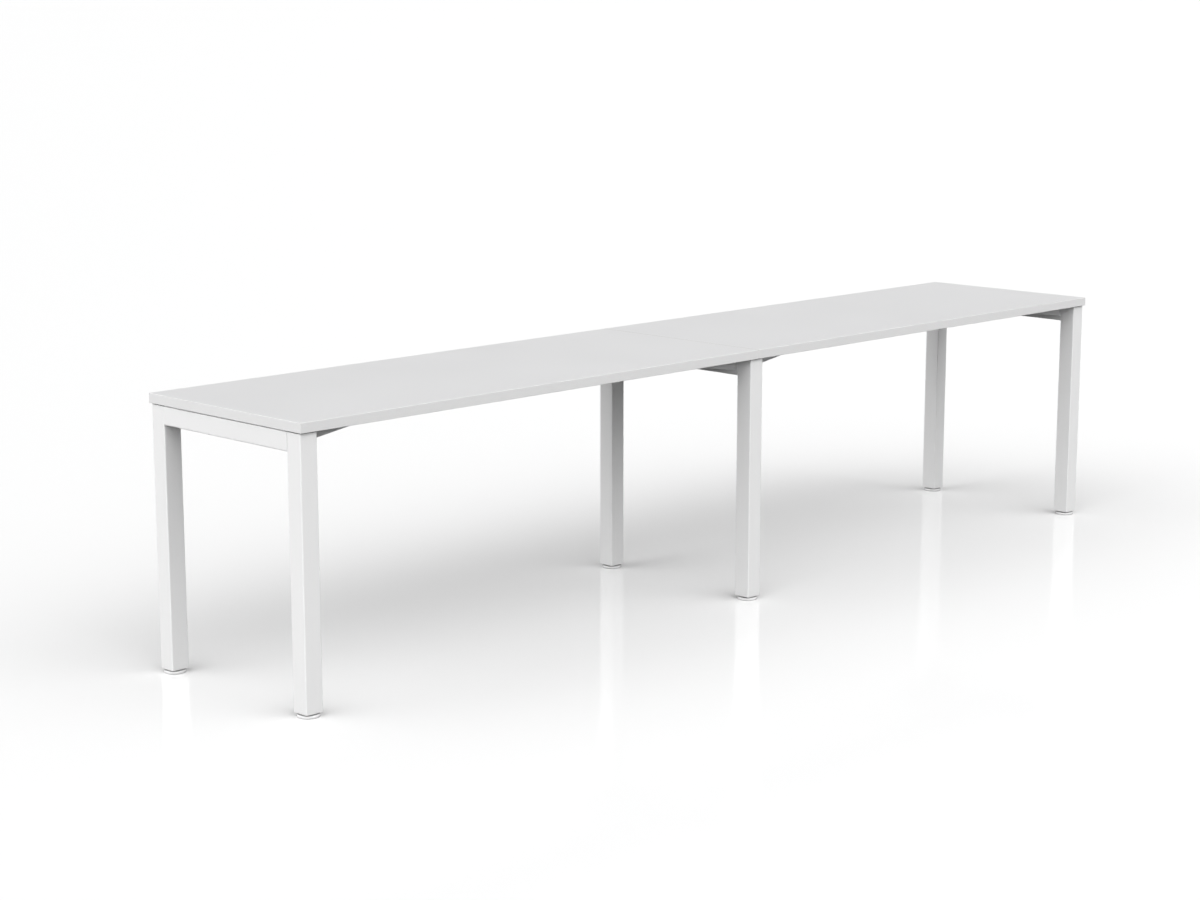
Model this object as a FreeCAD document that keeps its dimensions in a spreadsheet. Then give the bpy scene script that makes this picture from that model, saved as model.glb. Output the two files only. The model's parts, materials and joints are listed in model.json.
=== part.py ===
import FreeCAD, Part
import os
import Sketcher

# Two-person desk: two worktops side by side on three leg frames, on levelling glides.
# Millimetres, +Z up. The origin is on the floor under the middle of the desk, +X runs
# along its length and the front edges of the worktops face -Y.

# Driving sizes: alias, millimetres, meaning
SIZES = [
    ("top_length", 1600, "length of one worktop with its edging"),
    ("top_depth", 600, "depth of a worktop with its edging"),
    ("top_thickness", 25, "thickness of a worktop"),
    ("edging_thickness", 2, "thickness of the edging band"),
    ("edging_radius", 1, "rounding of the edging's outer edges"),
    ("end_overhang", 3, "worktop past the outer face of an end frame"),
    ("edge_overhang", 7, "worktop past the front or back face of a leg"),
    ("leg_width", 50, "width of the square tube of legs and rails"),
    ("leg_wall", 2, "wall of that tube"),
    ("leg_corner", 3, "outer corner radius of that tube"),
    ("leg_length", 674, "length of a leg tube"),
    ("rail_height", 47, "height of a cross rail"),
    ("cap_height", 10, "height of the cap in a leg's top"),
    ("cap_wall", 2, "wall of that cap"),
    ("plug_clearance", 0.1, "gap round a cap or insert in its tube"),
    ("wing_gauge", 2.5, "sheet thickness of a wing bracket"),
    ("wing_length", 210, "reach of a wing from its rail"),
    ("wing_root_depth", 35, "depth of a wing below the worktop at its rail"),
    ("wing_tip_depth", 3.5, "depth of a wing below the worktop at its tip"),
    ("wing_flange", 40, "width of a wing's flange under the worktop"),
    ("wing_inset", 3, "gap from a leg's inner face to the wing beside it"),
    ("wing_bend", 2, "outer bend radius of a wing"),
    ("tongue_gap", 3, "gap from a wing's tongue to the middle of the rail's top"),
    ("screw_diameter", 4.5, "shank of a worktop screw"),
    ("screw_length", 18, "worktop screw below its head"),
    ("screw_head_diameter", 8.5, "head of a worktop screw"),
    ("screw_head_height", 2.8, "height of that head"),
    ("screw_slot_width", 1.2, "width of the cross slot in a screw's head"),
    ("screw_slot_length", 5, "length of the cross slot"),
    ("screw_slot_depth", 1.4, "depth of the cross slot"),
    ("screw_margin", 35, "first and last screw from the ends of a wing"),
    ("screw_line", 24, "line of screws from the outer face of a wing"),
    ("screw_hole_clearance", 0.3, "gap round a screw in its wing"),
    ("pilot_clearance", 0.05, "gap round a screw in its worktop"),
    ("pilot_spare", 0.5, "pilot hole past the point of its screw"),
    ("bolt_diameter", 6, "shank of a frame bolt"),
    ("bolt_length", 16, "frame bolt below its head"),
    ("bolt_head_diameter", 10.5, "head of a frame bolt"),
    ("bolt_head_height", 3.3, "height of that head"),
    ("bolt_socket_flats", 4, "width across flats of the socket in a bolt's head"),
    ("bolt_socket_depth", 2, "depth of that socket"),
    ("bolt_hole_clearance", 0.3, "gap round a bolt in a tab or plate"),
    ("bolt_first", 13, "first wing bolt from the outer face of its wing"),
    ("bolt_pitch", 16, "spacing of the two bolts of a wing"),
    ("bolt_margin", 11, "edge of a tab past its second bolt"),
    ("nut_clearance", 0.05, "gap round a bolt or stud in its nut, and a nut in its seat"),
    ("rivet_nut_diameter", 9, "sleeve of a rivet nut"),
    ("rivet_nut_length", 15, "length of a rivet nut"),
    ("rivet_collar_diameter", 12.5, "upset collar of a rivet nut behind the wall"),
    ("rivet_collar_length", 3.5, "length of that collar"),
    ("stretcher_height", 40, "height of a stretcher tube"),
    ("stretcher_width", 30, "width of a stretcher tube"),
    ("stretcher_wall", 2, "wall of a stretcher tube"),
    ("stretcher_corner", 3, "outer corner radius of a stretcher tube"),
    ("plate_thickness", 4, "thickness of a stretcher's end plate"),
    ("plate_height", 40, "height of an end plate"),
    ("plate_bolt_pitch", 64, "spacing of the two bolts of an end plate"),
    ("plate_margin", 13, "edge of an end plate past its bolts"),
    ("insert_height", 28, "height of the insert in a leg's foot"),
    ("insert_bore_clearance", 0.4, "gap round the stud in an insert"),
    ("insert_nut_flats", 17, "width across flats of the nut in an insert"),
    ("insert_nut_height", 8.4, "height of that nut"),
    ("stud_diameter", 10, "thread diameter of a glide's stud"),
    ("stud_chamfer", 1, "chamfer on the upper end of a stud"),
    ("stud_seat_gap", 0.05, "gap round and under a stud in its foot"),
    ("glide_travel", 15, "how far a glide screws out"),
    ("collar_flats", 17, "width across flats of the collar that turns a stud"),
    ("collar_height", 3.2, "height of that collar"),
    ("collar_gap", 0.3, "gap from a foot to the collar above it"),
    ("disc_diameter", 56, "diameter of a glide's foot"),
    ("disc_thickness", 7, "thickness of a glide's foot"),
    ("disc_floor", 1.5, "foot below the end of its stud"),
    ("disc_round", 2.2, "rounding of the rim of a foot"),
    ("leg_gap", 0.5, "gap from a collar to its leg when screwed right in"),
]

# Heights and places worked out from the driving sizes
COLLAR = "(Sizes.disc_thickness + Sizes.collar_gap)"
FOOT = f"({COLLAR} + Sizes.collar_height + Sizes.leg_gap)"
FRAME_TOP = f"({FOOT} + Sizes.leg_length)"
UNDERSIDE = f"({FRAME_TOP} + Sizes.wing_gauge)"
RAIL_MIDDLE = f"({FRAME_TOP} - Sizes.rail_height / 2)"
RAIL_LENGTH = "(Sizes.top_depth - 2 * Sizes.edge_overhang - 2 * Sizes.leg_width)"
LEG_Y = "(Sizes.top_depth / 2 - Sizes.edge_overhang - Sizes.leg_width / 2)"
END_FRAME_X = "(Sizes.top_length - Sizes.end_overhang - Sizes.leg_width / 2)"
STRETCHER_SPAN = f"({END_FRAME_X} - Sizes.leg_width)"
WING_Y = f"({RAIL_LENGTH} / 2 - Sizes.wing_inset)"
TAB_DEPTH = "(Sizes.wing_root_depth - Sizes.wing_gauge)"
TAB_WIDTH = "(Sizes.bolt_first + Sizes.bolt_pitch + Sizes.bolt_margin)"
TONGUE = "(Sizes.leg_width / 2 - Sizes.tongue_gap)"
PLATE_WIDTH = "(Sizes.plate_bolt_pitch + 2 * Sizes.plate_margin)"
PLUG_WIDTH = "(Sizes.leg_width - 2 * Sizes.leg_wall - 2 * Sizes.plug_clearance)"
PLUG_CORNER = "max(Sizes.leg_corner - Sizes.leg_wall - Sizes.plug_clearance; Sizes.leg_wall / 4)"
SEAT_RADIUS = "(Sizes.stud_diameter / 2 + Sizes.stud_seat_gap)"
INSERT_TOP = f"({FOOT} + Sizes.insert_height)"

# Where the repeated pieces stand: frames along X, sides along Y, +1 or -1 or 0
FRAMES = {"left": -1, "middle": 0, "right": 1}
SIDES = {"front": -1, "back": 1}
DESKS = {"left": -1, "right": 1}
FACES = {"left_outer": ("left", 1), "left_inner": ("middle", -1),
         "right_inner": ("middle", 1), "right_outer": ("right", -1)}
WING_SCREWS = ["Sizes.screw_margin", "Sizes.wing_length / 2", "Sizes.wing_length - Sizes.screw_margin"]
WING_BOLTS = ["Sizes.bolt_first", "(Sizes.bolt_first + Sizes.bolt_pitch)"]
WHOLE_TURN = 360
TOLERANCE = 1e-6

doc = FreeCAD.newDocument("TwoPersonDesk")
sheet = doc.addObject("Spreadsheet::Sheet", "Sizes")
for row, (alias, value, meaning) in enumerate(SIZES, start=1):
    sheet.set(f"A{row}", meaning)
    sheet.set(f"B{row}", str(value))
    sheet.setAlias(f"B{row}", alias)
doc.recompute()

pieces = []


def number(expression):
    """Value of an expression over the sheet, in millimetres."""
    return float(sheet.evalExpression(str(expression)))


def frame_x(frame):
    """Expression for the middle of a leg frame."""
    return f"({FRAMES[frame]} * {END_FRAME_X})"


def face_x(face, outward="0"):
    """Expression for a place outward from a frame's face that looks under a worktop."""
    frame, direction = FACES[face]
    return f"({frame_x(frame)} + {direction} * (Sizes.leg_width / 2 + {outward}))"


def wing_y(side, inward="0"):
    """Expression for a place inward from the outer face of a wing."""
    return f"({SIDES[side]} * ({WING_Y} - {inward}))"


def new_body(label):
    """Empty body with its label."""
    body = doc.addObject("PartDesign::Body", label)
    body.Label = label
    return body


def sketch_on(body, role):
    """Sketch on one of the body's own origin planes."""
    plane = [item for item in body.Origin.OriginFeatures if item.Role == role][0]
    sketch = body.newObject("Sketcher::SketchObject", f"{body.Name}_sketch")
    sketch.AttachmentSupport = [(plane, "")]
    sketch.MapMode = "FlatFace"
    return sketch


def bind(sketch, kind, geometry, point, expression):
    """Dimension from the sketch's origin, bound to the sheet."""
    axes = {"DistanceX": -2, "DistanceY": -1}
    if str(expression) == "0":
        sketch.addConstraint(Sketcher.Constraint("PointOnObject", geometry, point, axes[kind]))
        return
    index = sketch.addConstraint(Sketcher.Constraint(kind, geometry, point, number(expression)))
    name = f"{kind}_{geometry}_{point}"
    sketch.renameConstraint(index, name)
    sketch.setExpression(f"Constraints.{name}", str(expression))


def outline(sketch, points):
    """Closed outline through corners given as pairs of expressions."""
    corners = [FreeCAD.Vector(number(across), number(along), 0) for across, along in points]
    first = sketch.GeometryCount
    count = len(corners)
    for step in range(count):
        line = Part.LineSegment(corners[step], corners[(step + 1) % count])
        sketch.addGeometry(line, False)
    for step in range(count):
        after = first + (step + 1) % count
        sketch.addConstraint(Sketcher.Constraint("Coincident", first + step, 2, after, 1))
    for step, (across, along) in enumerate(points):
        bind(sketch, "DistanceX", first + step, 1, across)
        bind(sketch, "DistanceY", first + step, 1, along)


def rectangle(sketch, width, height):
    """Rectangle about the sketch's origin."""
    right = f"({width}) / 2"
    top = f"({height}) / 2"
    left = f"-({width}) / 2"
    bottom = f"-({height}) / 2"
    outline(sketch, [(left, bottom), (right, bottom), (right, top), (left, top)])


def hexagon(sketch, flats):
    """Hexagon about the sketch's origin, by its width across flats."""
    half = f"({flats}) / 2"
    short = f"({flats}) / 2 / sqrt(3)"
    tall = f"({flats}) / sqrt(3)"
    upper = [(half, short), ("0", tall), (f"-{half}", short)]
    lower = [(f"-{half}", f"-{short}"), ("0", f"-{tall}"), (half, f"-{short}")]
    outline(sketch, upper + lower)


def circle(sketch, across, along, radius):
    """Circle with its centre and radius bound to the sheet."""
    centre = FreeCAD.Vector(number(across), number(along), 0)
    up = FreeCAD.Vector(0, 0, 1)
    index = sketch.addGeometry(Part.Circle(centre, up, number(radius)), False)
    bind(sketch, "DistanceX", index, 3, across)
    bind(sketch, "DistanceY", index, 3, along)
    size = sketch.addConstraint(Sketcher.Constraint("Radius", index, number(radius)))
    sketch.renameConstraint(size, f"Radius_{index}")
    sketch.setExpression(f"Constraints.Radius_{index}", radius)


def extrude(body, kind, sketch, length, backwards=False, both_ways=False):
    """Pad or pocket of a sketch, with its length bound to the sheet."""
    feature = body.newObject(f"PartDesign::{kind}", f"{body.Name}_{kind.lower()}")
    feature.Profile = sketch
    feature.Reversed = backwards
    feature.Midplane = both_ways
    feature.setExpression("Length", str(length))
    doc.recompute()
    return feature


def pad(body, sketch, length, **ways):
    """Solid grown from a sketch."""
    return extrude(body, "Pad", sketch, length, **ways)


def pocket(body, sketch, length, **ways):
    """Cut made from a sketch, which has to take something away."""
    before = body.Shape.Volume
    feature = extrude(body, "Pocket", sketch, length, **ways)
    if body.Shape.Volume > before - TOLERANCE:
        raise RuntimeError(f"{feature.Label} cuts nothing")
    return feature


def revolve(body, sketch):
    """Solid turned about the sketch's upright axis."""
    feature = body.newObject("PartDesign::Revolution", f"{body.Name}_turned")
    feature.Profile = sketch
    feature.ReferenceAxis = (sketch, ["V_Axis"])
    feature.Angle = WHOLE_TURN
    doc.recompute()
    return feature


def soften(body, kind, size_property, wanted, size):
    """Fillet or chamfer of the edges of the body's last feature that a test picks."""
    base = body.Tip
    names = [f"Edge{place}" for place, edge in enumerate(base.Shape.Edges, start=1) if wanted(edge)]
    feature = body.newObject(f"PartDesign::{kind}", f"{body.Name}_{kind.lower()}")
    feature.Base = (base, names)
    feature.setExpression(size_property, str(size))
    doc.recompute()
    return feature


def round_edges(body, wanted, radius):
    """Rounded edges."""
    return soften(body, "Fillet", "Radius", wanted, radius)


def place(piece, across, along, up, turn=None):
    """Placement of a piece, bound to the sheet."""
    if turn is not None:
        piece.Placement = FreeCAD.Placement(FreeCAD.Vector(), turn)
    for axis, expression in (("x", across), ("y", along), ("z", up)):
        piece.setExpression(f"Placement.Base.{axis}", str(expression))


def finish(piece):
    """Keep a piece for export."""
    pieces.append(piece)
    return piece


def half_turn(direction):
    """Turn about Z for a piece that reaches along -X."""
    angle = 0 if direction > 0 else WHOLE_TURN / 2
    return FreeCAD.Rotation(FreeCAD.Vector(0, 0, 1), angle)


def lie_down(direction):
    """Turn that takes a fastener's +Z into a frame whose face looks along direction."""
    return FreeCAD.Rotation(FreeCAD.Vector(0, 1, 0), -direction * WHOLE_TURN / 4)


def along_axis(edge, axis):
    """Whether a straight edge runs along X, Y or Z."""
    ends = [vertex.Point for vertex in edge.Vertexes]
    if len(ends) != 2:
        return False
    apart = ends[1] - ends[0]
    return abs(abs(getattr(apart, axis)) - apart.Length) < TOLERANCE and apart.Length > TOLERANCE


def at(edge, axis, value):
    """Whether every end of an edge lies at one coordinate."""
    return all(abs(getattr(vertex.Point, axis) - value) < TOLERANCE for vertex in edge.Vertexes)


def tube(label, role, width, height, wall, corner, length):
    """Rectangular tube with rounded corners, padded both ways from an origin plane."""
    body = new_body(label)
    sketch = sketch_on(body, role)
    rectangle(sketch, width, height)
    rectangle(sketch, f"({width} - 2 * {wall})", f"({height} - 2 * {wall})")
    pad(body, sketch, length, both_ways=True)
    run = {"XY_Plane": "z", "XZ_Plane": "y", "YZ_Plane": "x"}[role]
    across = {"XY_Plane": "x", "XZ_Plane": "x", "YZ_Plane": "y"}[role]
    outer = number(width) / 2
    inner = outer - number(wall)

    def on_outside(edge):
        return along_axis(edge, run) and (at(edge, across, outer) or at(edge, across, -outer))

    def on_inside(edge):
        return along_axis(edge, run) and (at(edge, across, inner) or at(edge, across, -inner))

    round_edges(body, on_outside, corner)
    round_edges(body, on_inside, f"max({corner} - {wall}; {wall} / 4)")
    return body


def group(label, master, places):
    """One node of like pieces: links to a master, each at its own place."""
    links = []
    for step, (across, along, up, turn) in enumerate(places, start=1):
        link = doc.addObject("App::Link", f"{label}_{step}")
        link.LinkedObject = master
        link.LinkTransform = False
        place(link, across, along, up, turn)
        links.append(link)
    compound = doc.addObject("Part::Compound", label)
    compound.Label = label
    compound.Links = links
    return finish(compound)


# Worktops
def worktop(desk):
    """Board of one worktop, with pilot holes for the wing screws in its underside."""
    sign = DESKS[desk]
    centre = f"({sign} * Sizes.top_length / 2)"
    board = new_body(f"worktop_{desk}")
    flat = sketch_on(board, "XY_Plane")
    length = "(Sizes.top_length - 2 * Sizes.edging_thickness)"
    depth = "(Sizes.top_depth - 2 * Sizes.edging_thickness)"
    rectangle(flat, length, depth)
    pad(board, flat, "Sizes.top_thickness")
    pilots = sketch_on(board, "XY_Plane")
    radius = "Sizes.screw_diameter / 2 + Sizes.pilot_clearance"
    for face in (f"{desk}_outer", f"{desk}_inner"):
        for side in SIDES:
            for screw in WING_SCREWS:
                across = f"{face_x(face, screw)} - {centre}"
                circle(pilots, across, wing_y(side, "Sizes.screw_line"), radius)
    deep = "Sizes.screw_length - Sizes.wing_gauge + Sizes.pilot_spare"
    pocket(board, pilots, deep, backwards=True)
    place(board, centre, "0", UNDERSIDE)
    finish(board)


def edging(desk):
    """Four edging bands round one worktop, the long ones covering the ends of the short ones."""
    sign = DESKS[desk]
    centre = f"({sign} * Sizes.top_length / 2)"
    radius = "min(Sizes.edging_radius; 0.9 * Sizes.edging_thickness)"
    for side, out in SIDES.items():
        band = new_body(f"edging_{desk}_{side}")
        flat = sketch_on(band, "XY_Plane")
        rectangle(flat, "Sizes.top_length", "Sizes.edging_thickness")
        pad(band, flat, "Sizes.top_thickness")
        hidden = -out * number("Sizes.edging_thickness") / 2
        round_edges(band, lambda edge: not at(edge, "y", hidden), radius)
        middle = "(Sizes.top_depth - Sizes.edging_thickness) / 2"
        place(band, centre, f"{out} * {middle}", UNDERSIDE)
        finish(band)
    for name, out in (("end", sign), ("seam", -sign)):
        band = new_body(f"edging_{desk}_{name}")
        flat = sketch_on(band, "XY_Plane")
        rectangle(flat, "Sizes.edging_thickness", "(Sizes.top_depth - 2 * Sizes.edging_thickness)")
        pad(band, flat, "Sizes.top_thickness")
        shown = out * number("Sizes.edging_thickness") / 2
        round_edges(band, lambda edge: at(edge, "x", shown) and along_axis(edge, "y"), radius)
        middle = "(Sizes.top_length - Sizes.edging_thickness) / 2"
        place(band, f"{centre} + {out} * {middle}", "0", UNDERSIDE)
        finish(band)


# Leg frames
def leg(frame, side):
    """Square leg tube."""
    width = "Sizes.leg_width"
    body = tube(f"leg_{frame}_{side}", "XY_Plane", width, width, "Sizes.leg_wall",
                "Sizes.leg_corner", "Sizes.leg_length")
    place(body, frame_x(frame), f"{SIDES[side]} * {LEG_Y}", f"{FOOT} + Sizes.leg_length / 2")
    finish(body)


def rail(frame):
    """Cross rail between two legs, with rivet nut holes in each face that carries wings."""
    body = tube(f"rail_{frame}", "XZ_Plane", "Sizes.leg_width", "Sizes.rail_height",
                "Sizes.leg_wall", "Sizes.leg_corner", RAIL_LENGTH)
    radius = "Sizes.rivet_nut_diameter / 2 + Sizes.nut_clearance"
    for carrier, direction in FACES.values():
        if carrier != frame:
            continue
        holes = sketch_on(body, "YZ_Plane")
        for side in SIDES:
            for bolt in WING_BOLTS:
                circle(holes, wing_y(side, bolt), f"Sizes.rail_height / 2 - {TAB_DEPTH} / 2", radius)
            circle(holes, f"{SIDES[side]} * Sizes.plate_bolt_pitch / 2", "0", radius)
        pocket(body, holes, "Sizes.leg_width / 2", backwards=direction > 0)
    place(body, frame_x(frame), "0", RAIL_MIDDLE)
    finish(body)


def leg_plug(label, height):
    """Square plug that fits inside a leg tube."""
    body = new_body(label)
    flat = sketch_on(body, "XY_Plane")
    rectangle(flat, PLUG_WIDTH, PLUG_WIDTH)
    pad(body, flat, height)
    round_edges(body, lambda edge: along_axis(edge, "z"), PLUG_CORNER)
    return body


def leg_caps():
    """Hollow caps in the tops of the legs, flush with them."""
    cap = leg_plug("one_leg_cap", "Sizes.cap_height")
    hollow = sketch_on(cap, "XY_Plane")
    inside = f"({PLUG_WIDTH} - 2 * Sizes.cap_wall)"
    rectangle(hollow, inside, inside)
    pocket(cap, hollow, "Sizes.cap_height - Sizes.cap_wall", backwards=True)
    up = f"{FRAME_TOP} - Sizes.cap_height"
    group("leg_caps", cap, [(frame_x(frame), f"{SIDES[side]} * {LEG_Y}", up, None)
                            for frame in FRAMES for side in SIDES])


# Wing brackets
def wing(face, side):
    """Tapered wing: web, flange with a tongue on the rail, and a tab bolted to the rail."""
    direction = FACES[face][1]
    hand = -direction * SIDES[side]
    body = new_body(f"wing_{face}_{side}")
    inward = f"{hand} * Sizes.wing_flange"
    flange = sketch_on(body, "XY_Plane")
    outline(flange, [(f"-{TONGUE}", "0"), ("Sizes.wing_length", "0"),
                     ("Sizes.wing_length", inward), (f"-{TONGUE}", inward)])
    pad(body, flange, "Sizes.wing_gauge")
    web = sketch_on(body, "XZ_Plane")
    outline(web, [("0", "Sizes.wing_gauge"), ("0", f"-{TAB_DEPTH}"),
                  ("Sizes.wing_length", "Sizes.wing_gauge - Sizes.wing_tip_depth"),
                  ("Sizes.wing_length", "Sizes.wing_gauge")])
    pad(body, web, "Sizes.wing_gauge", backwards=hand > 0)
    tab = sketch_on(body, "YZ_Plane")
    outline(tab, [("0", "0"), ("0", f"-{TAB_DEPTH}"),
                  (f"{hand} * {TAB_WIDTH}", f"-{TAB_DEPTH}"), (f"{hand} * {TAB_WIDTH}", "0")])
    pad(body, tab, "Sizes.wing_gauge")
    top = number("Sizes.wing_gauge")

    def on_bend(edge):
        outer_long = along_axis(edge, "x") and at(edge, "y", 0) and at(edge, "z", top)
        outer_upright = along_axis(edge, "z") and at(edge, "x", 0) and at(edge, "y", 0)
        return outer_long or outer_upright

    round_edges(body, on_bend, "min(Sizes.wing_bend; 0.9 * Sizes.wing_gauge)")
    screws = sketch_on(body, "XY_Plane")
    for screw in WING_SCREWS:
        radius = "Sizes.screw_diameter / 2 + Sizes.screw_hole_clearance"
        circle(screws, screw, f"{hand} * Sizes.screw_line", radius)
    pocket(body, screws, "Sizes.wing_gauge", backwards=True)
    bolts = sketch_on(body, "YZ_Plane")
    for bolt in WING_BOLTS:
        radius = "Sizes.bolt_diameter / 2 + Sizes.bolt_hole_clearance"
        circle(bolts, f"{hand} * {bolt}", f"-{TAB_DEPTH} / 2", radius)
    pocket(body, bolts, "Sizes.wing_gauge", backwards=True)
    place(body, face_x(face), wing_y(side), FRAME_TOP, half_turn(direction))
    finish(body)


# Stretchers
def stretcher(desk):
    """Tube under the middle of one worktop, between two end plates."""
    sign = DESKS[desk]
    body = tube(f"stretcher_{desk}", "YZ_Plane", "Sizes.stretcher_width", "Sizes.stretcher_height",
                "Sizes.stretcher_wall", "Sizes.stretcher_corner",
                f"({STRETCHER_SPAN} - 2 * Sizes.plate_thickness)")
    middle = f"{sign} * (Sizes.leg_width / 2 + {STRETCHER_SPAN} / 2)"
    place(body, middle, "0", RAIL_MIDDLE)
    finish(body)


def end_plate(face):
    """Plate that bolts one end of a stretcher to a rail."""
    body = new_body(f"end_plate_{face}")
    flat = sketch_on(body, "YZ_Plane")
    rectangle(flat, PLATE_WIDTH, "Sizes.plate_height")
    for side in SIDES.values():
        radius = "Sizes.bolt_diameter / 2 + Sizes.bolt_hole_clearance"
        circle(flat, f"{side} * Sizes.plate_bolt_pitch / 2", "0", radius)
    pad(body, flat, "Sizes.plate_thickness")
    place(body, face_x(face), "0", RAIL_MIDDLE, half_turn(FACES[face][1]))
    finish(body)


# Fasteners
def headed_shank(label, head_radius, head_height, radius, length):
    """Turned fastener: head below its origin, shank along +Z."""
    body = new_body(label)
    profile = sketch_on(body, "XZ_Plane")
    outline(profile, [("0", f"-{head_height}"), (head_radius, f"-{head_height}"), (head_radius, "0"),
                      (radius, "0"), (radius, length), ("0", length)])
    revolve(body, profile)
    low = -number(head_height)
    round_edges(body, lambda edge: at(edge, "z", low), f"{head_height} / 2")
    return body


def frame_bolt():
    """Bolt with a hexagon socket in a domed head."""
    body = headed_shank("one_frame_bolt", "Sizes.bolt_head_diameter / 2", "Sizes.bolt_head_height",
                        "Sizes.bolt_diameter / 2", "Sizes.bolt_length")
    socket = sketch_on(body, "XY_Plane")
    hexagon(socket, "Sizes.bolt_socket_flats")
    socket.setExpression("AttachmentOffset.Base.z", "-Sizes.bolt_head_height")
    pocket(body, socket, "Sizes.bolt_socket_depth", backwards=True)
    return body


def worktop_screw():
    """Wood screw with a cross slot in a domed head."""
    body = headed_shank("one_worktop_screw", "Sizes.screw_head_diameter / 2", "Sizes.screw_head_height",
                        "Sizes.screw_diameter / 2", "Sizes.screw_length")
    for width, height in (("slot_length", "slot_width"), ("slot_width", "slot_length")):
        slot = sketch_on(body, "XY_Plane")
        rectangle(slot, f"Sizes.screw_{width}", f"Sizes.screw_{height}")
        slot.setExpression("AttachmentOffset.Base.z", "-Sizes.screw_head_height")
        pocket(body, slot, "Sizes.screw_slot_depth", backwards=True)
    return body


def rivet_nut():
    """Rivet nut flush with the outer face of a rail, its collar upset behind the wall."""
    body = new_body("one_rivet_nut")
    profile = sketch_on(body, "XZ_Plane")
    bore = "Sizes.bolt_diameter / 2 + Sizes.nut_clearance"
    sleeve = "Sizes.rivet_nut_diameter / 2"
    collar = "Sizes.rivet_collar_diameter / 2"
    collar_end = "Sizes.leg_wall + Sizes.rivet_collar_length"
    outline(profile, [(bore, "0"), (sleeve, "0"), (sleeve, "Sizes.leg_wall"), (collar, "Sizes.leg_wall"),
                      (collar, collar_end), (sleeve, collar_end), (sleeve, "Sizes.rivet_nut_length"),
                      (bore, "Sizes.rivet_nut_length")])
    revolve(body, profile)
    return body


def fasteners():
    """Bolts and rivet nuts of the wings and end plates, and the worktop screws."""
    bolts = []
    nuts = []
    screws = []
    for face in FACES:
        turn = lie_down(FACES[face][1])
        for side in SIDES:
            up = f"{FRAME_TOP} - {TAB_DEPTH} / 2"
            for bolt in WING_BOLTS:
                bolts.append((face_x(face, "Sizes.wing_gauge"), wing_y(side, bolt), up, turn))
                nuts.append((face_x(face), wing_y(side, bolt), up, turn))
            along = f"{SIDES[side]} * Sizes.plate_bolt_pitch / 2"
            bolts.append((face_x(face, "Sizes.plate_thickness"), along, RAIL_MIDDLE, turn))
            nuts.append((face_x(face), along, RAIL_MIDDLE, turn))
            for screw in WING_SCREWS:
                screws.append((face_x(face, screw), wing_y(side, "Sizes.screw_line"), FRAME_TOP, None))
    group("frame_bolts", frame_bolt(), bolts)
    group("rivet_nuts", rivet_nut(), nuts)
    group("worktop_screws", worktop_screw(), screws)


# Levelling glides
def leg_insert(frame, side):
    """Plug in a leg's foot, bored for the stud, with a nut pocket in its top."""
    body = leg_plug(f"leg_insert_{frame}_{side}", "Sizes.insert_height")
    bore = sketch_on(body, "XY_Plane")
    circle(bore, "0", "0", "Sizes.stud_diameter / 2 + Sizes.insert_bore_clearance")
    pocket(body, bore, "Sizes.insert_height", backwards=True)
    seat = sketch_on(body, "XY_Plane")
    hexagon(seat, "(Sizes.insert_nut_flats + 2 * Sizes.nut_clearance)")
    seat.setExpression("AttachmentOffset.Base.z", "Sizes.insert_height")
    pocket(body, seat, "Sizes.insert_nut_height")
    place(body, frame_x(frame), f"{SIDES[side]} * {LEG_Y}", FOOT)
    finish(body)


def insert_nuts():
    """Hexagon nuts in the inserts, which carry the studs."""
    nut = new_body("one_insert_nut")
    flat = sketch_on(nut, "XY_Plane")
    hexagon(flat, "Sizes.insert_nut_flats")
    circle(flat, "0", "0", "Sizes.stud_diameter / 2 + Sizes.nut_clearance")
    pad(nut, flat, "Sizes.insert_nut_height")
    up = f"{INSERT_TOP} - Sizes.insert_nut_height"
    group("insert_nuts", nut, [(frame_x(frame), f"{SIDES[side]} * {LEG_Y}", up, None)
                               for frame in FRAMES for side in SIDES])


def glide_stud(frame, side):
    """Stud of a glide with a collar to turn it, long enough to fill its nut when screwed out."""
    body = new_body(f"glide_stud_{frame}_{side}")
    flat = sketch_on(body, "XY_Plane")
    circle(flat, "0", "0", "Sizes.stud_diameter / 2")
    low = "(Sizes.disc_floor + Sizes.stud_seat_gap)"
    pad(body, flat, f"{INSERT_TOP} + Sizes.glide_travel - {low}")
    high = body.Shape.BoundBox.ZMax
    soften(body, "Chamfer", "Size", lambda edge: at(edge, "z", high), "Sizes.stud_chamfer")
    flats = sketch_on(body, "XY_Plane")
    hexagon(flats, "Sizes.collar_flats")
    flats.setExpression("AttachmentOffset.Base.z", f"{COLLAR} - {low}")
    pad(body, flats, "Sizes.collar_height")
    place(body, frame_x(frame), f"{SIDES[side]} * {LEG_Y}", low)
    finish(body)


def glide_foot(frame, side):
    """Round foot of a glide, with the stud's seat in its top."""
    body = new_body(f"glide_foot_{frame}_{side}")
    profile = sketch_on(body, "XZ_Plane")
    rim = "Sizes.disc_diameter / 2"
    outline(profile, [("0", "0"), (rim, "0"), (rim, "Sizes.disc_thickness"),
                      (SEAT_RADIUS, "Sizes.disc_thickness"), (SEAT_RADIUS, "Sizes.disc_floor"),
                      ("0", "Sizes.disc_floor")])
    revolve(body, profile)
    reach = number(rim)

    def on_rim(edge):
        curve = edge.Curve
        return hasattr(curve, "Radius") and abs(curve.Radius - reach) < TOLERANCE

    round_edges(body, on_rim, "min(Sizes.disc_round; 0.45 * Sizes.disc_thickness)")
    place(body, frame_x(frame), f"{SIDES[side]} * {LEG_Y}", "0")
    finish(body)


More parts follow.
